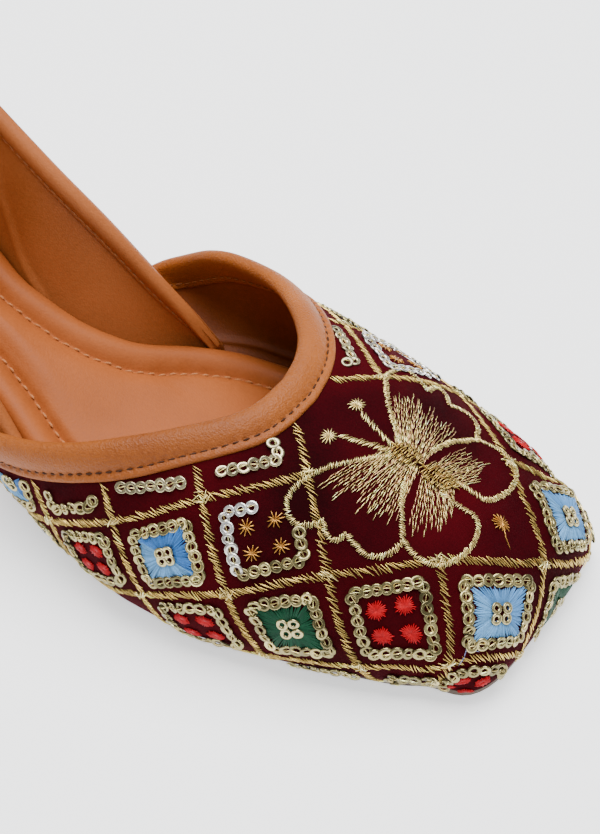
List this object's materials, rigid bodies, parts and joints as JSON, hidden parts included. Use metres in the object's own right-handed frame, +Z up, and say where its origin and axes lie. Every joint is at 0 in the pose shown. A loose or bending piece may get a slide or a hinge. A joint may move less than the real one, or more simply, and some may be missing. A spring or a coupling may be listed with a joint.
{
  "type": "mojari shoe",
  "caption": "Heeled slip-on mojari with a low square toe, velvet vamp, rolled leather topline bindings, separate back quarter and a padded insole.",
  "frame": {"origin": "middle of the heel's rest face, on the floor the shoe stands on", "axes": "+X from heel to toe along the floor, +Y to the inner side of this right shoe, +Z up"},
  "size_m": [0.2434, 0.0944, 0.1076],
  "materials": {
    "sole": "matt",
    "heel_cover": "semi-matt, fine grain",
    "top_piece": "matt",
    "insole_cover": "semi-matt, padded",
    "velvet": "velvet pile with metal thread embroidery",
    "binding": "semi-matt, fine grain",
    "quarter_leather": "semi-matt, fine grain"
  },
  "bodies": {
    "root": {"outsole": "sole", "heel": "heel_cover", "heel_top_piece": "top_piece", "insole": "insole_cover", "upper": "velvet", "vamp_binding": "binding", "quarter_binding": "quarter_leather"}
  },
  "joints": []
}
